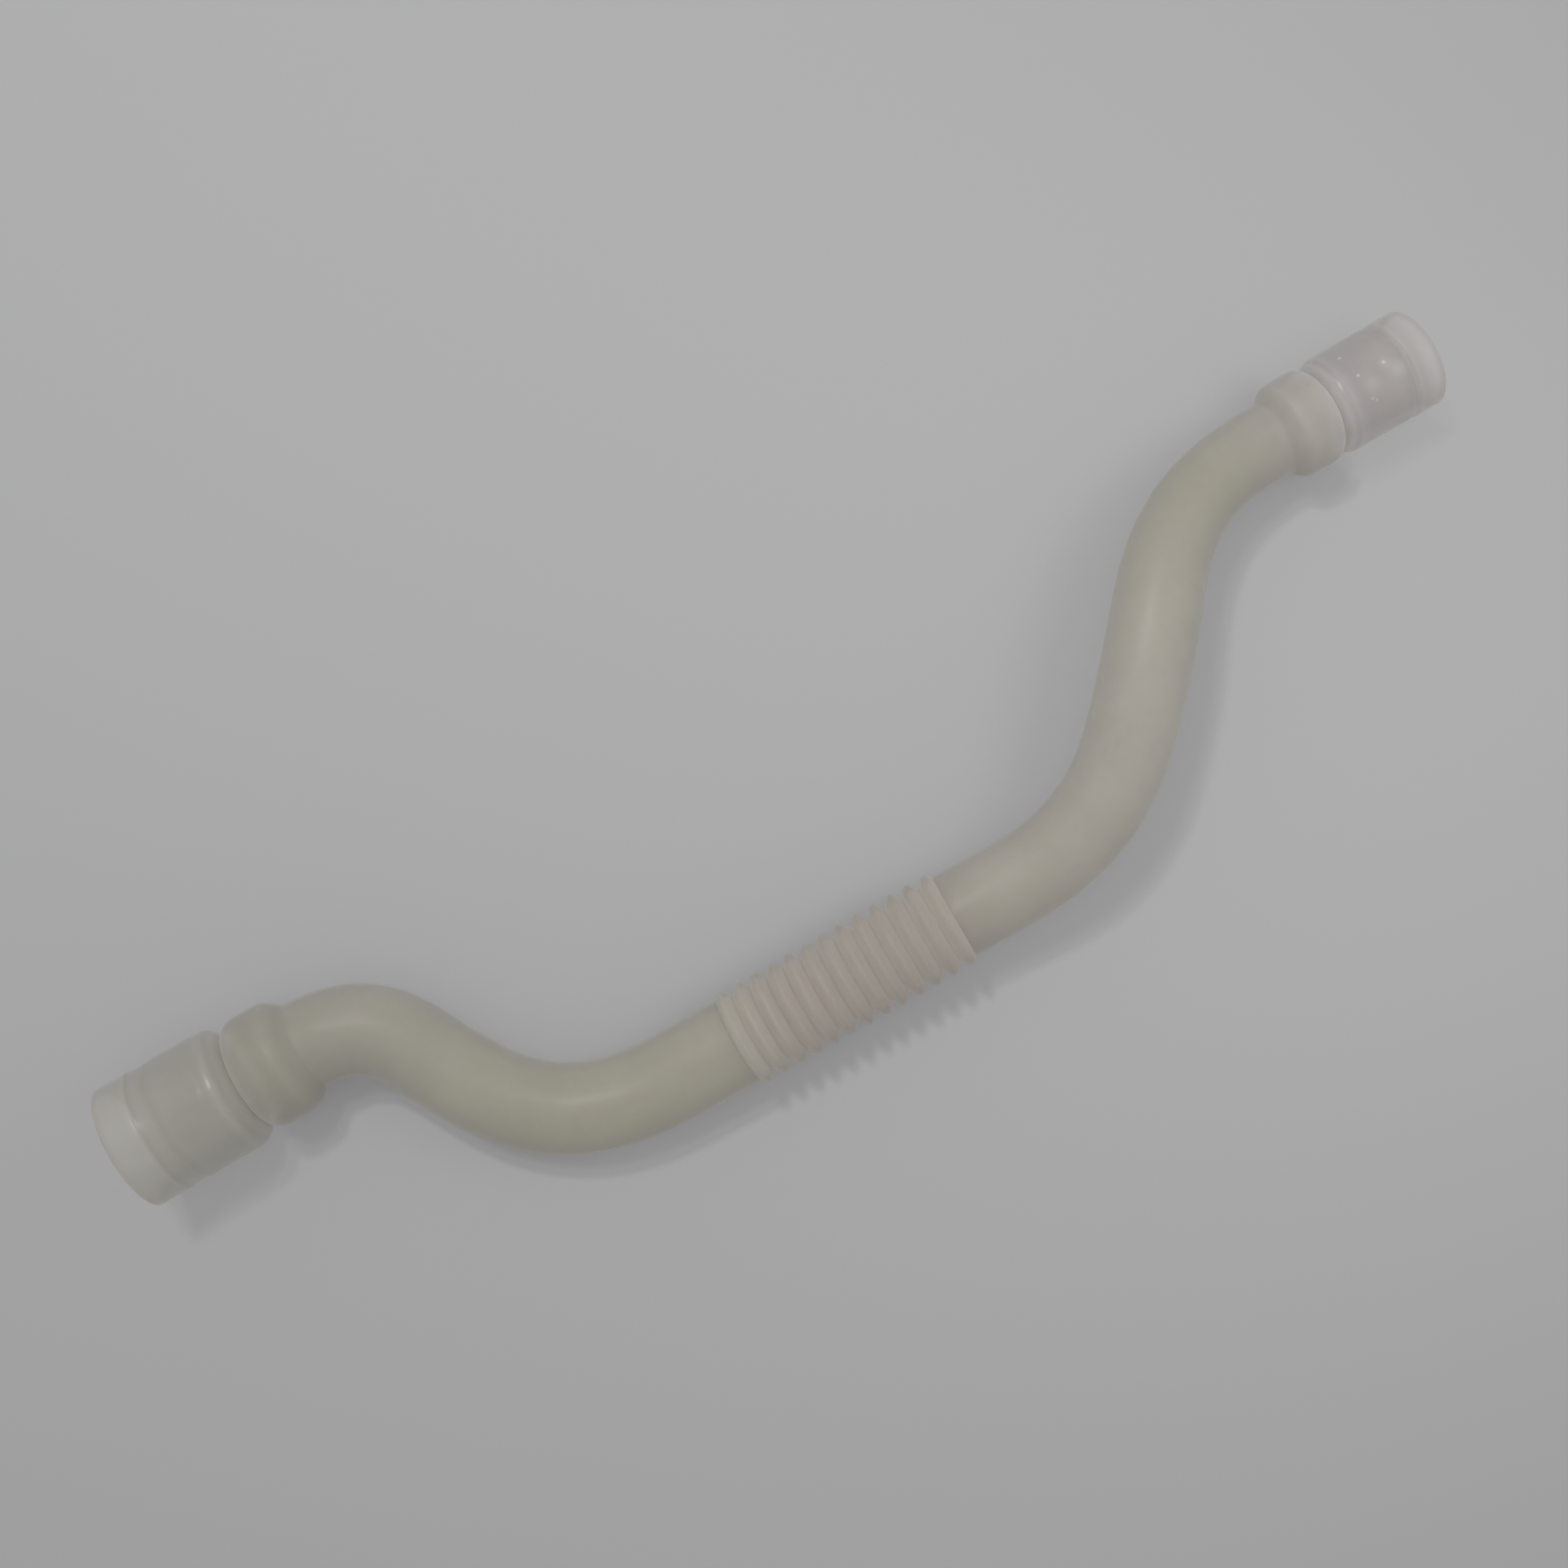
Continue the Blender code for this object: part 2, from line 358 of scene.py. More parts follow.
@dataclass(frozen=True)
class Route:
    """The axis's route: runs and eased bends seen from above, and a height law."""

    wide_run: float = 0.0404
    first_bend: float = 0.0304
    link_run: float = 0.0022
    second_bend: float = 0.0612
    middle_run: float = 0.0740
    third_bend: float = 0.0558
    riser_run: float = 0.0182
    fourth_bend: float = 0.0506
    small_run: float = 0.0356
    lower_turn: float = math.radians(63.2)
    upper_turn: float = math.radians(48.5)
    wide_slope: float = math.radians(4.4)
    bellows_slope: float = math.radians(2.2)
    small_slope: float = math.radians(2.6)
    low_share: float = 0.66
    bellows_clearance: float = 0.00025
    riser_height: float = 0.0245
    step: float = 0.0002

    def runs(self) -> tuple[tuple[float, float], ...]:
        """Return the runs as (length, turn), from the wide mouth on.

        Returns:
            Pairs of a plan length in metres and the turn along it in radians.
        """
        return (
            (self.wide_run, 0.0),
            (self.first_bend, -self.lower_turn),
            (self.link_run, 0.0),
            (self.second_bend, self.lower_turn),
            (self.middle_run, 0.0),
            (self.third_bend, self.upper_turn),
            (self.riser_run, 0.0),
            (self.fourth_bend, -self.upper_turn),
            (self.small_run, 0.0),
        )

    def bellows_start(self, bellows: Bellows) -> float:
        """Return the plan distance from the wide mouth to the first crest."""
        return self.wide_run + self.first_bend + self.link_run + self.second_bend + bellows.inset

    def headings(self, plan: np.ndarray) -> np.ndarray:
        """Return the heading at plan distances: each bend adds its turn by a smooth step.

        Args:
            plan: Plan distances from the wide mouth, in metres.

        Returns:
            The headings, in radians from +X.
        """
        heading = np.zeros_like(plan)
        start = 0.0
        for length, turn in self.runs():
            heading += turn * ease((plan - start) / length)
            start += length
        return heading

    def stations(self, wide: Cuff, small: Cuff, bellows: Bellows, tube_radius: float) -> np.ndarray:
        """Return rows of (plan distance, axis height, slope) that the height law goes through.

        The wide cuff's shoulder, the second bend and the small mouth's rim touch the table.

        Args:
            wide: The cuff where the plan distance is 0.
            small: The cuff at the far end.
            bellows: The bellows, which clears the table at its low end.
            tube_radius: Outer radius of the tube.

        Returns:
            The rows, in the order of their plan distances.
        """
        falling, rising, settling = (
            -math.tan(self.wide_slope), math.tan(self.bellows_slope), -math.tan(self.small_slope))
        shoulder = wide.groove_at - wide.groove_fall
        wide_mouth = wide.body_od / 2 * math.cos(self.wide_slope) + shoulder * math.sin(self.wide_slope)
        second = self.wide_run + self.first_bend + self.link_run
        riser = second + self.second_bend + self.middle_run + self.third_bend
        small_start = riser + self.riser_run + self.fourth_bend
        small_mouth = small.mouth_od / 2 * math.cos(self.small_slope)
        crest = tube_radius + bellows.crest_height + self.bellows_clearance
        first = self.bellows_start(bellows)
        return np.array([
            (0.0, wide_mouth, falling),
            (self.wide_run, wide_mouth + self.wide_run * falling, falling),
            (second + self.second_bend * self.low_share, tube_radius, 0.0),
            (first, crest, rising),
            (first + bellows.length, crest + bellows.length * rising, rising),
            (riser + self.riser_run / 2, self.riser_height, 0.0),
            (small_start, small_mouth - self.small_run * settling, settling),
            (small_start + self.small_run, small_mouth, settling),
        ])

    def heights(self, plan: np.ndarray, stations: np.ndarray) -> np.ndarray:
        """Return the axis height at plan distances, by cubic pieces between the stations.

        Each piece is the cubic that has the height and the slope of both its stations.

        Args:
            plan: Plan distances from the wide mouth, in metres.
            stations: Rows of (plan distance, axis height, slope).

        Returns:
            The heights of the axis over the table, in metres.
        """
        index = np.clip(np.searchsorted(stations[:, 0], plan, side="right") - 1, 0, len(stations) - 2)
        near, far = stations[index], stations[index + 1]
        span = far[:, 0] - near[:, 0]
        t = (plan - near[:, 0]) / span
        return ((2 * t ** 3 - 3 * t ** 2 + 1) * near[:, 1]
                + (t ** 3 - 2 * t ** 2 + t) * near[:, 2] * span
                + (3 * t ** 2 - 2 * t ** 3) * far[:, 1]
                + (t ** 3 - t ** 2) * far[:, 2] * span)

    def axis(self, stations: np.ndarray) -> Axis:
        """Return the axis as fine arrays, by summing short steps along the headings.

        Args:
            stations: Rows of (plan distance, axis height, slope).

        Returns:
            The axis, with its distances measured along it in space.
        """
        total = sum(length for length, _ in self.runs())
        plan = np.linspace(0.0, total, round(total / self.step) + 1)
        step = plan[1] - plan[0]
        middle = self.headings((plan[1:] + plan[:-1]) / 2)
        x = np.concatenate([[0.0], np.cumsum(np.cos(middle) * step)])
        y = np.concatenate([[0.0], np.cumsum(np.sin(middle) * step)])
        z = self.heights(plan, stations)
        place = np.stack([x, y, z], axis=1)
        lengths = np.linalg.norm(np.diff(place, axis=0), axis=1)
        distance = np.concatenate([[0.0], np.cumsum(lengths)])
        return Axis(distance, place, self.headings(plan), np.arctan(np.gradient(z, plan)))


@dataclass(frozen=True)
class Tube:
    """The plain tube: its outside, its wall, and the taper before the small cuff."""

    od: float = 0.0200
    riser_less: float = 0.0006
    neck_od: float = 0.0169
    wall: float = 0.0022
    taper_length: float = 0.0400
    neck_length: float = 0.0141


@dataclass(frozen=True)
class Fineness:
    """How finely the wall is cut: allowed chord errors, spacings and corner rounding.

    The rounding is a Gaussian's width, and it is cut off at rounding_reach widths.
    """

    sides: int = 64
    outer_error: float = 0.005 * MILLIMETRE
    inner_error: float = 0.014 * MILLIMETRE
    outer_spacing: float = 1.5 * MILLIMETRE
    inner_spacing: float = 2.5 * MILLIMETRE
    table_step: float = 0.02 * MILLIMETRE
    rounding: float = 0.13 * MILLIMETRE
    rounding_reach: float = 4.0
    lip_points: int = 9


@dataclass(frozen=True)
class Softness:
    """How the soft wall strays from a true round: slow waves of a few hundredths of a millimetre."""

    depth: float = 0.030 * MILLIMETRE
    waves: int = 14
    lowest: float = 12.0
    highest: float = 95.0
    most_lobes: int = 4
    seed: int = 7

    def strays(self, distances: np.ndarray, angles: np.ndarray) -> np.ndarray:
        """Return how far each point of the grid strays outwards.

        The sum of waves cos(f s + k a + p), each with a random frequency f along the hose,
        a whole number k of lobes around it and a random phase p.

        Args:
            distances: Distances along the hose, of shape (n,).
            angles: Angles around it, of shape (m,).

        Returns:
            An array of shape (n, m), in metres.
        """
        draw = np.random.default_rng(self.seed)
        frequency = draw.uniform(self.lowest, self.highest, self.waves)
        lobes = draw.integers(0, self.most_lobes + 1, self.waves)
        phase = draw.uniform(0.0, math.tau, self.waves)
        along = distances[:, None, None] * frequency
        around = angles[None, :, None] * lobes
        return self.depth * np.cos(along + around + phase).sum(axis=2) / math.sqrt(self.waves / 2)


@dataclass(frozen=True)
class BrightSpot:
    """A bright spot on the small cuff, a speck when small and a painted highlight when broad and faint:
    place along and around it, size and strength.
    """

    from_small: float
    angle: float
    size: float
    share: float


@dataclass(frozen=True)
class WallSection:
    """The closed outline of the wall, with what the finishes need at each of its points."""

    distance: np.ndarray
    radius: np.ndarray
    crest: np.ndarray
    # Share of painted light: a lighter colour in the bellows' roots, the grooves, the necks and the
    # highlight rings.
    painted_light: np.ndarray
    # Share of painted shade on the cuffs' dark rings.
    ring: np.ndarray
    rim: np.ndarray


@dataclass
class MouldedHose:
    """The whole moulding, from the wide mouth to the small one."""

    wide: Cuff
    small: Cuff
    tube: Tube = Tube()
    bellows: Bellows = Bellows()
    route: Route = Route()
    fineness: Fineness = Fineness()
    softness: Softness = Softness()
    lip: float = 0.35 * MILLIMETRE
    # Painted light in the grooves and necks: a lighter colour against their shade, spread over these
    # reaches.
    groove_reach: float = 1.5 * MILLIMETRE
    groove_light_share: float = 0.8
    neck_reach: float = 1.5 * MILLIMETRE
    neck_light_share: float = 0.12
    ring_reach: float = 0.55 * MILLIMETRE
    name: str = "moulded_hose"

    def __post_init__(self) -> None:
        """Work out the axis and where the bellows starts on it."""
        stations = self.route.stations(self.wide, self.small, self.bellows, self.tube.od / 2)
        self.axis = self.route.axis(stations)
        plan = self.route.bellows_start(self.bellows)
        total = sum(length for length, _ in self.route.runs())
        shares = np.linspace(0.0, 1.0, len(self.axis.distance))
        self.first_crest = float(np.interp(plan / total, shares, self.axis.distance))

    def wall_radii(self, distances: np.ndarray, inside: bool) -> np.ndarray:
        """Return the outer or inner radius at distances from the wide mouth.

        The cuffs' lines run to the tube, the taper is a smooth step between the riser's radius
        and the neck's, and the crests replace the tube where they stand over or under it.

        Args:
            distances: Distances from the wide mouth, in metres.
            inside: True for the bore.

        Returns:
            The radii, before their corners are rounded.
        """
        inset = self.tube.wall if inside else 0.0
        tube, neck = self.tube.od / 2 - inset, self.tube.neck_od / 2 - inset
        riser = tube - self.tube.riser_less / 2
        length = self.axis.length
        near = self.wide.inside(tube) if inside else self.wide.outside(tube)
        far = (self.small.inside(neck) if inside else self.small.outside(neck)).mirrored()
        taper_end = length - far.length - self.tube.neck_length
        taper_start = taper_end - self.tube.taper_length
        last_crest = self.first_crest + self.bellows.length
        plain = np.where(distances < last_crest, tube, riser)
        tapered = riser + (neck - riser) * ease((distances - taper_start) / self.tube.taper_length)
        radii = np.where(distances > taper_start, tapered, plain)
        radii = np.where(distances < near.length, near.radii(distances), radii)
        on_far = distances > length - far.length
        radii = np.where(on_far, far.radii(distances - length + far.length), radii)
        return np.where(self.in_bellows(distances), self.crest_radii(distances, inside), radii)

    def crest_radii(self, distances: np.ndarray, inside: bool) -> np.ndarray:
        """Return the crests' radii, outer or inner, at distances from the wide mouth."""
        inset = self.bellows.wall if inside else 0.0
        return self.bellows.radii(distances - self.first_crest, self.tube.od / 2) - inset

    def in_bellows(self, distances: np.ndarray) -> np.ndarray:
        """Return where the crests make the wall, from one end crest's foot to the other's.

        Args:
            distances: Distances from the wide mouth, in metres.

        Returns:
            True at each distance that lies in the bellows.
        """
        from_first = distances - self.first_crest
        last = self.bellows.length + self.bellows.reach(self.tube.riser_less / 2)
        return (from_first > -self.bellows.reach(0.0)) & (from_first < last)

    def line(self, inside: bool) -> tuple[np.ndarray, np.ndarray]:
        """Return one side of the wall as (distances, radii), cut finer where it curves more.

        The radii are averaged over a short Gaussian, which rounds the corners. The number of
        cuts per metre is sqrt(curvature / (8 error)), and never under one per plain spacing.

        Args:
            inside: True for the bore.

        Returns:
            Distances and radii, from the wide mouth to the small one, without the lips.
        """
        fine = self.fineness
        error = fine.inner_error if inside else fine.outer_error
        spacing = fine.inner_spacing if inside else fine.outer_spacing
        table = np.arange(0.0, self.axis.length, fine.table_step)
        radii = self.wall_radii(table, inside)
        half = int(fine.rounding_reach * fine.rounding / fine.table_step)
        kernel = np.exp(-0.5 * (np.arange(-half, half + 1) * fine.table_step / fine.rounding) ** 2)
        padded = np.pad(radii, half, mode="edge")
        smooth = np.convolve(padded, kernel / kernel.sum(), mode="valid")
        bend = np.abs(np.gradient(np.gradient(smooth, fine.table_step), fine.table_step))
        density = np.maximum(np.sqrt(bend / (8 * error)), 1.0 / spacing)
        cuts = np.concatenate([[0.0], np.cumsum((density[1:] + density[:-1]) / 2) * fine.table_step])
        count = int(math.ceil(cuts[-1]))
        distances = np.interp(np.linspace(0.0, cuts[-1], count + 1), cuts, table)
        distances = distances[(distances > self.lip) & (distances < self.axis.length - self.lip)]
        return distances, np.interp(distances, table, smooth)

    def lip_arc(self, at_wide_mouth: bool) -> tuple[np.ndarray, np.ndarray]:
        """Return a mouth's lip as (distances, radii), with both its edges rounded.

        Each edge is a quarter of a circle, and the ring face lies between them.

        Args:
            at_wide_mouth: True for the wide mouth, False for the small one.

        Returns:
            Distances from the wide mouth, and the radii there.
        """
        cuff = self.wide if at_wide_mouth else self.small
        outer, inner = cuff.mouth_od / 2, cuff.mouth_od / 2 - cuff.mouth_wall
        turn = np.linspace(0.0, math.pi / 2, self.fineness.lip_points)
        deep = self.lip * (1.0 - np.sin(turn))
        distances = np.concatenate([deep, deep[::-1]])
        radii = np.concatenate([
            outer - self.lip * (1.0 - np.cos(turn)),
            inner + self.lip * (1.0 - np.cos(turn[::-1])),
        ])
        if at_wide_mouth:
            return distances, radii
        return self.axis.length - distances[::-1], radii[::-1]

    def section(self) -> WallSection:
        """Return the closed outline: out along the outside, round the small lip and back inside.

        Returns:
            The outline's points, with their shares of crest, painted light, painted shade ring and rim.
        """
        back = (
            self.lip_arc(at_wide_mouth=False),
            self.line(inside=True),
            self.lip_arc(at_wide_mouth=True),
        )
        stretches = [np.stack(self.line(inside=False))] + [np.stack(line)[:, ::-1] for line in back]
        distance, radius = np.concatenate(stretches, axis=1)
        rim = np.repeat([0.0, 1.0, 0.0, 1.0], [stretch.shape[1] for stretch in stretches])
        crest, painted_light = self.crest_and_painted_light(distance)
        return WallSection(distance, radius, crest, painted_light, self.rings(distance, highlight=False), rim)

    def from_mouths(self, distance: np.ndarray) -> tuple[tuple[Cuff, np.ndarray], ...]:
        """Return both cuffs, each with the distances from its mouth."""
        return (self.wide, distance), (self.small, self.axis.length - distance)

    def rings(self, distance: np.ndarray, highlight: bool) -> np.ndarray:
        """Return how far each station lies on a painted ring of a cuff: share e^(-(x / reach)^2) about
        it.

        Args:
            distance: Distances from the wide mouth, in metres.
            highlight: True for the painted highlight rings, False for the painted shade rings.

        Returns:
            The shares, from 0 to 1.
        """
        ring = np.zeros_like(distance)
        for cuff, from_mouth in self.from_mouths(distance):
            for place, share in cuff.painted_highlight_rings if highlight else cuff.painted_shade_rings:
                ring = ring + share * np.exp(-((from_mouth - place) / self.ring_reach) ** 2)
        return np.clip(ring, 0.0, 1.0)

    def crest_and_painted_light(self, distance: np.ndarray) -> tuple[np.ndarray, np.ndarray]:
        """Return how far each station is on a crest of the bellows, and its share of painted light.

        In the bellows the crest is the share of the height from root to crest, and the painted light is
        the rest, so the roots are coloured lighter against their shade. Each groove and neck adds a share
        of e^(-(x / reach)^2) of painted light about its bottom, and the painted highlight rings of the
        cuffs are added too.

        Args:
            distance: Distances from the wide mouth, in metres.

        Returns:
            The two shares, from 0 to 1.
        """
        tube = self.tube.od / 2
        over_root = self.bellows.radii(distance - self.first_crest, tube) - tube + self.bellows.root_depth
        rise = over_root / self.bellows.height
        pleated = self.in_bellows(distance)
        # Painted light: the roots, grooves, necks and highlight rings are coloured lighter against their
        # shade.
        painted_light = np.where(pleated, 1.0 - rise, 0.0) + self.rings(distance, highlight=True)
        for cuff, from_mouth in self.from_mouths(distance):
            groove = (from_mouth - cuff.groove_at) / self.groove_reach
            neck = (from_mouth - cuff.neck_at) / self.neck_reach
            painted_light = painted_light + self.groove_light_share * np.exp(-groove ** 2)
            painted_light = painted_light + self.neck_light_share * np.exp(-neck ** 2)
        return np.where(pleated, rise, 0.0), np.clip(painted_light, 0.0, 1.0)

    def build(self) -> bpy.types.Object:
        """Return the hose: its section turned about the axis and closed both ways round.

        A point is place + radius (cos a sideways + sin a upward), for the angle a around.

        Returns:
            The hose as one object, with the number of its finish on each face.
        """
        section = self.section()
        sides = self.fineness.sides
        angles = np.linspace(0.0, math.tau, sides, endpoint=False)
        place, sideways, upward = self.axis.frames(section.distance)
        radius = section.radius[:, None] + self.softness.strays(section.distance, angles)
        points = (place[:, None, :]
                  + (radius * np.cos(angles))[..., None] * sideways[:, None, :]
                  + (radius * np.sin(angles))[..., None] * upward[:, None, :])
        low, high = points.min(axis=(0, 1)), points.max(axis=(0, 1))
        self.shift = np.array([-(low[0] + high[0]) / 2, -(low[1] + high[1]) / 2, -low[2]])
        mesh = closed_grid(self.name, points + self.shift)
        # The painted light and painted shade ring shares go on the mesh for the finishes to colour by.
        for name, values in (("along", section.distance), ("crest", section.crest),
                             ("painted_light", section.painted_light), ("ring", section.ring), ("rim", section.rim)):
            put_attribute(mesh, name, np.repeat(values, sides))
        piece = put_in_scene(self.name, mesh)
        self.paint(mesh, np.repeat(section.distance, sides))
        return piece

    def paint(self, mesh: bpy.types.Mesh, along: np.ndarray) -> None:
        """Give each face its finish: the tube's, the wide cuff's or the small cuff's.

        Args:
            mesh: The hose's mesh.
            along: The distance from the wide mouth at each vertex.
        """
        corners = np.empty(len(mesh.polygons) * 4, dtype=np.int32)
        mesh.polygons.foreach_get("vertices", corners)
        middle = along[corners].reshape(-1, 4).mean(axis=1)
        wide = middle < self.wide.groove_at
        small = middle > self.axis.length - self.small.groove_at
        slots = np.where(small, Part.SMALL_CUFF.value, Part.TUBE.value)
        slots = np.where(wide, Part.WIDE_CUFF.value, slots)
        mesh.polygons.foreach_set("material_index", slots.astype(np.int32))

    def place_of(self, spot: BrightSpot) -> Place:
        """Return where a bright spot lies on the small cuff, in the solid's frame.

        Args:
            spot: The bright spot.

        Returns:
            Its middle, in metres.
        """
        place, sideways, upward = self.axis.frames(np.array([self.axis.length - spot.from_small]))
        outwards = math.cos(spot.angle) * sideways[0] + math.sin(spot.angle) * upward[0]
        point = place[0] + self.small.body_od / 2 * outwards + self.shift
        return tuple(float(value) for value in point)


class Part(Enum):
    """The hose's zones that have a finish of their own, by material slot."""

    TUBE = 0
    WIDE_CUFF = 1
    SMALL_CUFF = 2


def closed_grid(name: str, points: np.ndarray) -> bpy.types.Mesh:
    """Return a mesh of a grid that closes on itself in both directions, facing outwards.

    Each quad joins the points (i, j), (i, j + 1), (i + 1, j + 1) and (i + 1, j), with both
    indices wrapped round.

    Args:
        name: The mesh's name.
        points: Points of shape (rows, sides, 3).

    Returns:
        The mesh, shaded smooth.
    """
    rows, sides = points.shape[:2]
    row, side = np.meshgrid(np.arange(rows), np.arange(sides), indexing="ij")
    next_row, next_side = (row + 1) % rows, (side + 1) % sides
    quads = np.stack([
        row * sides + side,
        row * sides + next_side,
        next_row * sides + next_side,
        next_row * sides + side,
    ], axis=-1).reshape(-1, 4).astype(np.int32)
    mesh = bpy.data.meshes.new(name)
    mesh.vertices.add(rows * sides)
    mesh.vertices.foreach_set("co", points.astype(np.float32).ravel())
    mesh.loops.add(quads.size)
    mesh.loops.foreach_set("vertex_index", quads.ravel())
    mesh.polygons.add(len(quads))
    mesh.polygons.foreach_set("loop_start", np.arange(0, quads.size, 4, dtype=np.int32))
    mesh.update(calc_edges=True)
    mesh.shade_smooth()
    return mesh


def put_in_scene(name: str, data: bpy.types.ID) -> bpy.types.Object:
    """Return a new object that is linked to the scene.

    Args:
        name: The object's name.
        data: Its mesh, lamp or camera.

    Returns:
        The object.
    """
    thing = bpy.data.objects.new(name, data)
    bpy.context.scene.collection.objects.link(thing)
    return thing


def put_attribute(mesh: bpy.types.Mesh, name: str, values: np.ndarray) -> None:
    """Store one number for each vertex as a named attribute.

    Args:
        mesh: The mesh to store them on.
        name: The attribute's name.
        values: One value for each vertex.
    """
    attribute = mesh.attributes.new(name, "FLOAT", "POINT")
    attribute.data.foreach_set("value", values.astype(np.float32))


class NodeSheet:
    """A short way to add nodes to one node tree and link them."""

    def __init__(self, tree: bpy.types.NodeTree) -> None:
        """Keep the tree that the nodes go into."""
        self.tree = tree
        self.column = 0

    def add(self, kind: str, settings: dict[str, object] | None = None,
            inputs: dict[str | int, object] | None = None) -> bpy.types.Node:
        """Add a node, set its properties, and set or link its inputs; a colour gets full alpha.

        Args:
            kind: The node's Blender type.
            settings: Properties of the node.
            inputs: Values or output sockets, by input name or number.

        Returns:
            The node.
        """
        node = self.tree.nodes.new(kind)
        node.location = (NODE_SPACING * self.column, 0)
        self.column += 1
        for key, value in (settings or {}).items():
            setattr(node, key, value)
        for key, value in (inputs or {}).items():
            if isinstance(value, bpy.types.NodeSocket):
                self.tree.links.new(value, node.inputs[key])
            elif node.inputs[key].type == "RGBA":
                node.inputs[key].default_value = (*value, 1.0)
            else:
                node.inputs[key].default_value = value
        return node

    def maths(self, operation: str, *values: object) -> bpy.types.NodeSocket:
        """Return the result of a Math node on numbers or sockets."""
        return self.add("ShaderNodeMath", {"operation": operation}, dict(enumerate(values))).outputs[0]

    def mix(self, factor: object, first: object, second: object,
            blend: str = "MIX") -> bpy.types.NodeSocket:
        """Return the colour that a Mix node makes of two colours.

        Args:
            factor: Share of the second colour, as a number or socket.
            first: The first colour or its socket.
            second: The second colour or its socket.
            blend: The way in which the node mixes them.

        Returns:
            The mixed colour.
        """
        node = self.add("ShaderNodeMix", {"data_type": "RGBA", "blend_type": blend},
                        {0: factor, 6: first, 7: second})
        return node.outputs[2]

    def spread(self, value: object, low: float, high: float,
               to_low: float = 0.0, to_high: float = 1.0) -> bpy.types.NodeSocket:
        """Return a value mapped smoothly from one range to another and held inside it.

        Args:
            value: The value or its socket.
            low: Where the mapping starts.
            high: Where it ends.
            to_low: The result at low and under it.
            to_high: The result at high and over it.

        Returns:
            The mapped value.
        """
        node = self.add("ShaderNodeMapRange", {"interpolation_type": "SMOOTHSTEP"},
                        {0: value, 1: low, 2: high, 3: to_low, 4: to_high})
        return node.outputs[0]

    def attribute(self, name: str) -> bpy.types.NodeSocket:
        """Return the number that the mesh stores under a name."""
        node = self.add("ShaderNodeAttribute", {"attribute_name": name})
        return node.outputs["Fac"]

    def noise(self, place: object, scale: float, detail: float,
              rough: float = 0.55) -> bpy.types.NodeSocket:
        """Return a noise between 0 and 1 at a place, with features of 1/scale metres.

        Args:
            place: The socket that gives the place.
            scale: Features per metre.
            detail: How many finer layers are added.
            rough: How strong each finer layer is.

        Returns:
            The noise.
        """
        node = self.add("ShaderNodeTexNoise", None,
                        {"Vector": place, "Scale": scale, "Detail": detail, "Roughness": rough})
        return node.outputs["Fac"]


def new_group(name: str, inputs: dict[str, str], outputs: dict[str, str]) -> bpy.types.NodeTree:
    """Return an empty shader node group with named sockets.

    Args:
        name: The group's name.
        inputs: Socket type, by name.
        outputs: Socket type, by name.

    Returns:
        The group's tree.
    """
    tree = bpy.data.node_groups.new(name, "ShaderNodeTree")
    for side, sockets in (("INPUT", inputs), ("OUTPUT", outputs)):
        for label, kind in sockets.items():
            tree.interface.new_socket(name=label, in_out=side, socket_type=kind)
    return tree


@dataclass
class ElastomerEffects:
    """The node groups that the moulding's finishes share, with their noise scales per metre."""

    cloud_scale: float = 60.0
    wisp_scale: float = 360.0
    cloud_share: float = 0.7
    cloud_range: tuple[float, float] = (0.34, 0.66)
    grain_scale: float = 2600.0
    grain_share: float = 0.25
    ripple_scale: float = 210.0
    scuff_scale: float = 420.0
    scuff_range: tuple[float, float] = (0.35, 0.65)

    def __post_init__(self) -> None:
        """Build each group once."""
        self.clouding = self.make_clouding()
        self.satin = self.make_satin()

    def make_clouding(self) -> bpy.types.NodeTree:
        """Return the group for milky clouds: slow tone changes inside the wall.

        A broad and a fine noise are added by their shares and spread, and the colour moves
        from the first to the second by the result.

        Returns:
            The group, with a thin and a thick colour in and one colour out.
        """
        tree = new_group("milky_clouding", {"Thin": "NodeSocketColor", "Thick": "NodeSocketColor"},
                         {"Color": "NodeSocketColor"})
        sheet = NodeSheet(tree)
        entry = sheet.add("NodeGroupInput")
        place = sheet.add("ShaderNodeTexCoord").outputs["Object"]
        clouds = sheet.maths("MULTIPLY", sheet.noise(place, self.cloud_scale, 2.0), self.cloud_share)
        wisps = sheet.maths("MULTIPLY", sheet.noise(place, self.wisp_scale, 4.0), 1.0 - self.cloud_share)
        cloud = sheet.spread(sheet.maths("ADD", clouds, wisps), *self.cloud_range)
        colour = sheet.mix(cloud, entry.outputs["Thin"], entry.outputs["Thick"])
        sheet.add("NodeGroupOutput", None, {"Color": colour})
        return tree

    def make_satin(self) -> bpy.types.NodeTree:
        """Return the group for the mould's satin skin: a fine height and a roughness that wanders.

        The height is a share of a fine grain on broader ripples.

        Returns:
            The group, with two roughnesses in, and a height and a roughness out.
        """
        tree = new_group("satin_skin", {"Low": "NodeSocketFloat", "High": "NodeSocketFloat"},
                         {"Height": "NodeSocketFloat", "Roughness": "NodeSocketFloat"})
        sheet = NodeSheet(tree)
        entry = sheet.add("NodeGroupInput")
        place = sheet.add("ShaderNodeTexCoord").outputs["Object"]
        grain = sheet.maths("MULTIPLY", sheet.noise(place, self.grain_scale, 2.0, 0.6), self.grain_share)
        height = sheet.maths("ADD", grain, sheet.noise(place, self.ripple_scale, 2.0, 0.5))
        scuff = sheet.spread(sheet.noise(place, self.scuff_scale, 4.0, 0.6), *self.scuff_range)
        span = sheet.maths("SUBTRACT", entry.outputs["High"], entry.outputs["Low"])
        rough = sheet.maths("ADD", entry.outputs["Low"], sheet.maths("MULTIPLY", span, scuff))
        sheet.add("NodeGroupOutput", None, {"Height": height, "Roughness": rough})
        return tree


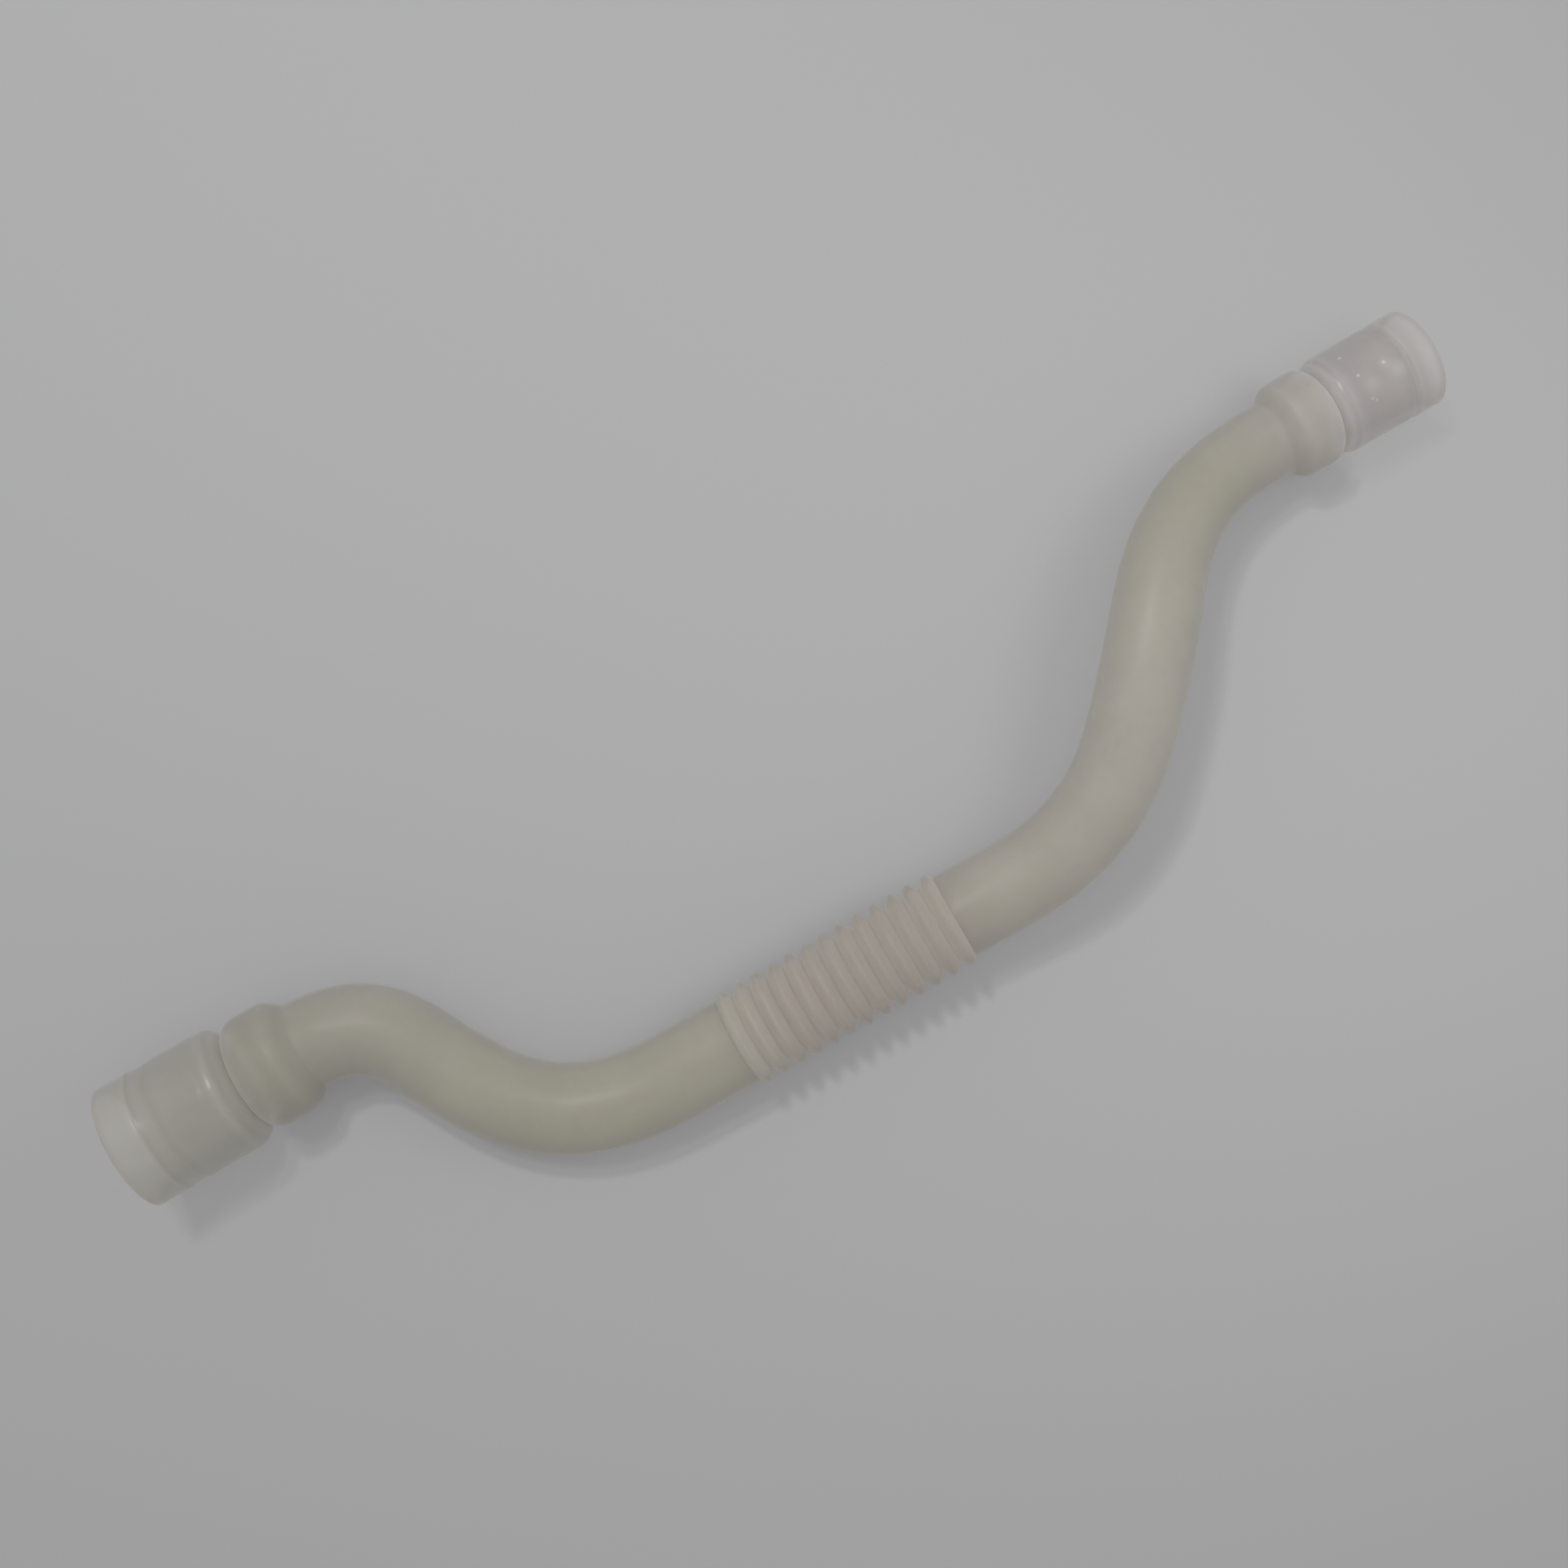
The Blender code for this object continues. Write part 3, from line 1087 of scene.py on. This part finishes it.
@dataclass(frozen=True)
class Elastomer:
    """A finish of the moulding: a soft, milky elastomer with a satin skin.

    Each tone is a distance along the hose and what the colour is multiplied by there.
    """

    name: str
    thin: Colour
    thick: Colour
    # Painted light: the lighter colour of roots, grooves, necks and highlight rings.
    painted_light_tint: Colour
    rim_tint: Colour
    tones: tuple[tuple[float, Colour], ...]
    # Brown on the bellows' crests, a little darker as painted shade on their lit tops.
    crest_brown_and_shade_tint: Colour | None = None
    # Painted shade on the cuffs' dark rings.
    painted_shade_ring_tint: Colour | None = None
    opacity: float = 0.5
    seep: float = 0.6
    ior: float = 1.45
    subsurface: float = 1.0
    specular: float = 0.25
    sheen: float = 0.25
    rough_low: float = 0.36
    rough_high: float = 0.46
    bump: float = 0.06
    bump_height: float = 0.2 * MILLIMETRE
    scatter: Colour = (1.0, 0.92, 0.72)
    scatter_scale: float = 0.008

    def tone_along(self, sheet: NodeSheet, colour: bpy.types.NodeSocket) -> bpy.types.NodeSocket:
        """Return the colour multiplied by tones that change slowly along the hose.

        Args:
            sheet: The material's nodes.
            colour: The colour before.

        Returns:
            The colour after.
        """
        reach = self.tones[-1][0]
        share = sheet.maths("DIVIDE", sheet.attribute("along"), reach)
        ramp = sheet.add("ShaderNodeValToRGB", None, {"Fac": share})
        stops = ramp.color_ramp.elements
        for index, (distance, tone) in enumerate(self.tones):
            stop = stops[index] if index < 2 else stops.new(distance / reach)
            stop.position = distance / reach
            stop.color = (*tone, 1.0)
        return sheet.mix(1.0, colour, ramp.outputs["Color"], "MULTIPLY")

    @staticmethod
    def with_specks_and_highlights(sheet: NodeSheet, colour: bpy.types.NodeSocket,
                    specks_and_highlights: list[tuple[BrightSpot, Place]]) -> bpy.types.NodeSocket:
        """Return the colour with each speck and painted highlight mixed in, brightest at its middle.

        Args:
            sheet: The material's nodes.
            colour: The colour before.
            specks_and_highlights: The specks and painted highlights, each with its place.

        Returns:
            The colour after.
        """
        place = sheet.add("ShaderNodeTexCoord").outputs["Object"]
        for spot, middle in specks_and_highlights:
            apart = sheet.add("ShaderNodeVectorMath", {"operation": "DISTANCE"}, {0: place, 1: middle})
            mask = sheet.spread(apart.outputs["Value"], 0.0, spot.size, spot.share, 0.0)
            colour = sheet.mix(mask, colour, SPECK_AND_HIGHLIGHT_COLOUR)
        return colour

    def seeping(self, sheet: NodeSheet, shader: bpy.types.ShaderNode) -> bpy.types.NodeSocket:
        """Return the shader with a part of the scattered light let through its milky wall.

        Only diffuse and shadow rays see the clear share, so the camera sees the shader itself.

        Args:
            sheet: The material's nodes.
            shader: The Principled shader.

        Returns:
            The shader for the surface.
        """
        clear = sheet.add("ShaderNodeBsdfTransparent")
        milky = sheet.add("ShaderNodeMixShader", None, {
            0: self.seep, 1: shader.outputs["BSDF"], 2: clear.outputs["BSDF"]})
        light = sheet.add("ShaderNodeLightPath")
        result = shader.outputs["BSDF"]
        for ray in ("Is Diffuse Ray", "Is Shadow Ray"):
            mixed = sheet.add("ShaderNodeMixShader", None, {
                0: light.outputs[ray], 1: result, 2: milky.outputs["Shader"]})
            result = mixed.outputs["Shader"]
        return result

    def material(self, effects: ElastomerEffects,
                 specks_and_highlights: list[tuple[BrightSpot, Place]]) -> bpy.types.Material:
        """Return the material of this finish.

        Args:
            effects: The node groups shared by the finishes.
            specks_and_highlights: The specks and painted highlights on this finish, each with its place.

        Returns:
            The material: a Principled shader that scattered light partly passes.
        """
        material = bpy.data.materials.new(self.name)
        material.use_nodes = True
        sheet = NodeSheet(material.node_tree)
        shader = material.node_tree.nodes["Principled BSDF"]
        clouding = sheet.add("ShaderNodeGroup", {"node_tree": effects.clouding},
                             {"Thin": self.thin, "Thick": self.thick})
        satin = sheet.add("ShaderNodeGroup", {"node_tree": effects.satin},
                          {"Low": self.rough_low, "High": self.rough_high})
        colour = clouding.outputs["Color"]
        # Brown with a little painted shade on the crests, painted light in the roots, grooves, necks and
        # highlight rings, and painted shade on the cuffs' dark rings.
        tints = {"crest": self.crest_brown_and_shade_tint, "painted_light": self.painted_light_tint, "ring": self.painted_shade_ring_tint}
        for mask, tint in tints.items():
            if tint is not None:
                colour = sheet.mix(sheet.attribute(mask), colour, tint)
        colour = self.with_specks_and_highlights(sheet, self.tone_along(sheet, colour), specks_and_highlights)
        colour = sheet.mix(sheet.attribute("rim"), colour, self.rim_tint)
        bump = sheet.add("ShaderNodeBump", None, {
            "Strength": self.bump, "Distance": self.bump_height, "Height": satin.outputs["Height"]})
        links = material.node_tree.links
        links.new(colour, shader.inputs["Base Color"])
        links.new(satin.outputs["Roughness"], shader.inputs["Roughness"])
        links.new(bump.outputs["Normal"], shader.inputs["Normal"])
        for label, value in (
            ("IOR", self.ior), ("Specular IOR Level", self.specular), ("Alpha", self.opacity),
            ("Sheen Weight", self.sheen), ("Subsurface Weight", self.subsurface),
            ("Subsurface Radius", self.scatter), ("Subsurface Scale", self.scatter_scale),
        ):
            shader.inputs[label].default_value = value
        surface = material.node_tree.nodes["Material Output"].inputs["Surface"]
        links.new(self.seeping(sheet, shader), surface)
        return material


@dataclass(frozen=True)
class Lamp:
    """One soft lamp; its bearing is anticlockwise from the right side of the photographed view."""

    name: str
    bearing: float
    elevation: float
    distance: float
    size: float
    watts: float
    glints: bool = True


@dataclass(frozen=True)
class Studio:
    """The plain floor, the soft lamps, the even surroundings and the camera.

    The camera stands over its foot on the table, turned by its heading.
    """

    heading: float = math.radians(-30.02)
    foot: tuple[float, float] = (-0.00180, 0.01589)
    height: float = 0.3975
    focal_pixels: float = 2170.0
    frame_pixels: float = 1932.0
    sensor: float = 36.0
    nearest: float = 0.01
    floor_size: float = 6.0
    floor_colour: Colour = (0.413, 0.413, 0.416)
    floor_roughness: float = 0.75
    floor_specular: float = 0.2
    sky_colour: Colour = (0.80, 0.80, 0.80)
    sky_strength: float = 0.58
    lamps: tuple[Lamp, ...] = (
        Lamp("ceiling_panel", math.radians(100), math.radians(84), 1.1, 0.50, 1.2, glints=False),
        Lamp("upper_lamp", math.radians(122), math.radians(60), 0.80, 0.06, 2.3),
        Lamp("right_window", math.radians(15), math.radians(53), 0.32, 0.12, 0.155, glints=False),
    )

    def build(self) -> None:
        """Add the floor, lamps, surroundings and camera to the scene."""
        self.add_floor()
        self.add_sky()
        for lamp in self.lamps:
            self.add_lamp(lamp)
        self.add_camera()

    def add_floor(self) -> None:
        """Add the plain pale floor that the hose lies on."""
        half = self.floor_size / 2
        corners = [(-half, -half, 0.0), (half, -half, 0.0), (half, half, 0.0), (-half, half, 0.0)]
        mesh = bpy.data.meshes.new("table_top")
        mesh.from_pydata(corners, [], [(0, 1, 2, 3)])
        floor = put_in_scene("table_top", mesh)
        material = bpy.data.materials.new("pale_table")
        material.use_nodes = True
        shader = material.node_tree.nodes["Principled BSDF"]
        shader.inputs["Base Color"].default_value = (*self.floor_colour, 1.0)
        shader.inputs["Roughness"].default_value = self.floor_roughness
        shader.inputs["Specular IOR Level"].default_value = self.floor_specular
        mesh.materials.append(material)

    def add_sky(self) -> None:
        """Light everything evenly from all around."""
        world = bpy.context.scene.world or bpy.data.worlds.new("even_light")
        bpy.context.scene.world = world
        world.use_nodes = True
        background = world.node_tree.nodes["Background"]
        background.inputs["Color"].default_value = (*self.sky_colour, 1.0)
        background.inputs["Strength"].default_value = self.sky_strength

    def add_lamp(self, lamp: Lamp) -> None:
        """Add a square area lamp that faces the middle of the table.

        Its place is (cos b cos e, sin b cos e, sin e) times its distance, for the bearing b
        and the elevation e.

        Args:
            lamp: The lamp.
        """
        bearing = lamp.bearing + self.heading
        place = np.array([
            math.cos(bearing) * math.cos(lamp.elevation),
            math.sin(bearing) * math.cos(lamp.elevation),
            math.sin(lamp.elevation),
        ]) * lamp.distance
        light = bpy.data.lights.new(lamp.name, "AREA")
        light.shape = "SQUARE"
        light.size = lamp.size
        light.energy = lamp.watts
        holder = put_in_scene(lamp.name, light)
        holder.visible_glossy = lamp.glints
        holder.location = place
        holder.rotation_euler = (math.pi / 2 - lamp.elevation, 0.0, bearing + math.pi / 2)

    def add_camera(self) -> None:
        """Add the camera, which looks straight down as in the photograph."""
        data = bpy.data.cameras.new("straight_down")
        data.sensor_width = self.sensor
        data.lens = self.focal_pixels / self.frame_pixels * self.sensor
        data.clip_start = self.nearest
        camera = put_in_scene("straight_down", data)
        camera.location = (*self.foot, self.height)
        camera.rotation_euler = (0.0, 0.0, self.heading)
        bpy.context.scene.camera = camera


def wide_cuff() -> Cuff:
    """Return the wide cuff's sizes.

    Returns:
        The cuff at the start of the hose.
    """
    return Cuff(
        mouth_od=0.0286, seat_od=0.0280, body_od=0.0284, groove_od=0.0190, bulge_od=0.0263,
        wall=0.0023, mouth_wall=0.0015, band=0.0074, ramp=0.0006, seat=0.0038, body=0.0117,
        groove_fall=0.0043, groove_rise=0.0046, bulge=0.0038, neck_fall=0.0066,
        stop_depth=0.0222, stop_height=0.0006,
        # Painted shade rings at the steps.
        painted_shade_rings=((0.0082, 0.8), (0.0124, 0.7), (0.0264, 0.6)),
        # Painted highlight rings beside the steps.
        painted_highlight_rings=((0.0070, 0.15), (0.0244, 0.30)),
    )


def small_cuff() -> Cuff:
    """Return the small cuff's sizes.

    Returns:
        The cuff at the end of the hose.
    """
    return Cuff(
        mouth_od=0.0226, seat_od=0.0217, body_od=0.0224, groove_od=0.0168, bulge_od=0.0222,
        wall=0.0021, mouth_wall=0.0014, band=0.0058, ramp=0.0006, seat=0.0010, body=0.0126,
        groove_fall=0.0034, groove_rise=0.0030, bulge=0.0040, neck_fall=0.0054,
        stop_depth=0.0163, stop_height=0.0006,
        # Painted shade rings at the steps.
        painted_shade_rings=((0.0072, 0.9), (0.0084, 0.6), (0.0218, 0.3)),
        # Painted highlight rings beside the steps.
        painted_highlight_rings=((0.0060, 0.20), (0.0208, 0.40), (0.0228, 0.35)),
    )


def tube_tones() -> tuple[tuple[float, Colour], ...]:
    """Return the tube's tones: dimmest at the wide bulge, brown in the bellows, then palest.

    Returns:
        Pairs of a distance along the hose and a tone.
    """
    return (
        (0.030, (0.77, 0.765, 0.74)),
        (0.057, (0.88, 0.865, 0.84)),
        (0.105, (0.88, 0.875, 0.81)),
        (0.142, (0.93, 0.91, 0.86)),
        (0.157, (0.82, 0.765, 0.745)),
        (0.195, (0.81, 0.76, 0.745)),
        (0.210, (0.93, 0.90, 0.88)),
        (0.264, (0.96, 0.93, 0.93)),
        (0.314, (0.83, 0.82, 0.77)),
        (0.345, (0.93, 0.90, 0.94)),
    )


def wide_cuff_tones() -> tuple[tuple[float, Colour], ...]:
    """Return the wide cuff's tones: a paler end band, then a dimmer seat and body.

    Returns:
        Pairs of a distance along the hose and a tone.
    """
    return (
        (0.004, (1.0, 1.0, 1.0)),
        (0.009, (0.97, 0.97, 0.965)),
        (0.013, (0.94, 0.94, 0.925)),
        (0.034, (0.93, 0.93, 0.90)),
    )


def small_cuff_tones() -> tuple[tuple[float, Colour], ...]:
    """Return the small cuff's tones: an even body, then a pale end band.

    Returns:
        Pairs of a distance along the hose and a tone.
    """
    return (
        (0.340, (0.76, 0.745, 0.79)),
        (0.366, (0.735, 0.73, 0.735)),
        (0.369, (0.93, 0.92, 0.95)),
    )


def small_cuff_specks_and_highlights() -> tuple[BrightSpot, ...]:
    """Return the bright specks and the broad painted highlights on the small cuff.

    Each row is the distance from the mouth in millimetres, the angle in degrees, the size in
    millimetres and the strength.

    Returns:
        The small specks first, then the broad painted highlights.
    """
    rows = (
        (18.0, 47, 0.50, 0.8),
        (17.6, 78, 0.50, 0.9),
        (17.2, 108, 0.45, 0.6),
        (16.4, 112, 0.45, 0.5),
        (11.4, 79, 0.65, 0.9),
        # Broad, faint painted highlights.
        (11.2, 80, 2.2, 0.17),
        (9.6, 93, 3.4, 0.20),
        (16.0, 94, 3.2, 0.15),
    )
    return tuple(
        BrightSpot(from_small * MILLIMETRE, math.radians(angle), size * MILLIMETRE, share)
        for from_small, angle, size, share in rows
    )


def finishes() -> dict[Part, Elastomer]:
    """Return the finish of each zone of the hose.

    Returns:
        The finishes, by zone.
    """
    return {
        Part.TUBE: Elastomer(
            name="milky_tube",
            thin=(0.392, 0.382, 0.351),
            thick=(0.416, 0.405, 0.372),
            # Brown on the bellows' crests, a little darker as painted shade on their lit tops.
            crest_brown_and_shade_tint=(0.395, 0.375, 0.345),
            # Painted light in the roots, grooves and necks.
            painted_light_tint=(0.63, 0.595, 0.53),
            rim_tint=(0.40, 0.36, 0.32),
            opacity=0.62,
            tones=tube_tones(),
            scatter_scale=0.012,
        ),
        Part.WIDE_CUFF: Elastomer(
            name="wide_cuff_elastomer",
            thin=(0.368, 0.361, 0.336),
            thick=(0.397, 0.389, 0.364),
            # Painted light in the groove, the neck and the highlight rings.
            painted_light_tint=(0.49, 0.475, 0.43),
            # Painted shade on the dark rings at the steps.
            painted_shade_ring_tint=(0.344, 0.328, 0.297),
            rim_tint=(0.38, 0.34, 0.30),
            seep=0.7,
            specular=0.50,
            rough_low=0.29,
            rough_high=0.36,
            tones=wide_cuff_tones(),
        ),
        Part.SMALL_CUFF: Elastomer(
            name="small_cuff_elastomer",
            thin=(0.480, 0.455, 0.445),
            thick=(0.515, 0.490, 0.480),
            # Painted light in the groove, the neck and the highlight rings.
            painted_light_tint=(0.66, 0.63, 0.60),
            # Painted shade on the dark rings at the steps.
            painted_shade_ring_tint=(0.43, 0.400, 0.390),
            rim_tint=(0.42, 0.38, 0.36),
            seep=0.85,
            specular=0.40,
            rough_low=0.28,
            rough_high=0.36,
            tones=small_cuff_tones(),
        ),
    }


def main() -> None:
    """Build the hose, dress it, and set up the studio around it."""
    logging.basicConfig(level=logging.INFO, format="%(name)s: %(message)s")
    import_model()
    bpy.context.scene.view_settings.view_transform = "Standard"
    studio = Studio()
    studio.build()
    hose = MouldedHose(wide_cuff(), small_cuff())
    piece = hose.build()
    effects = ElastomerEffects()
    # The small cuff's specks and painted highlights, each with its place.
    specks_and_highlights = [(spot, hose.place_of(spot)) for spot in small_cuff_specks_and_highlights()]
    for part, finish in sorted(finishes().items(), key=lambda entry: entry[0].value):
        piece.data.materials.append(finish.material(effects, specks_and_highlights if part is Part.SMALL_CUFF else []))
        LOG.info("finish %s on zone %s", finish.name, part.name)
    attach(piece, BODY)
    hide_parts(NODE)
    LOG.info("piece %s: %d faces", piece.name, len(piece.data.polygons))


if __name__ == "__main__":
    main()
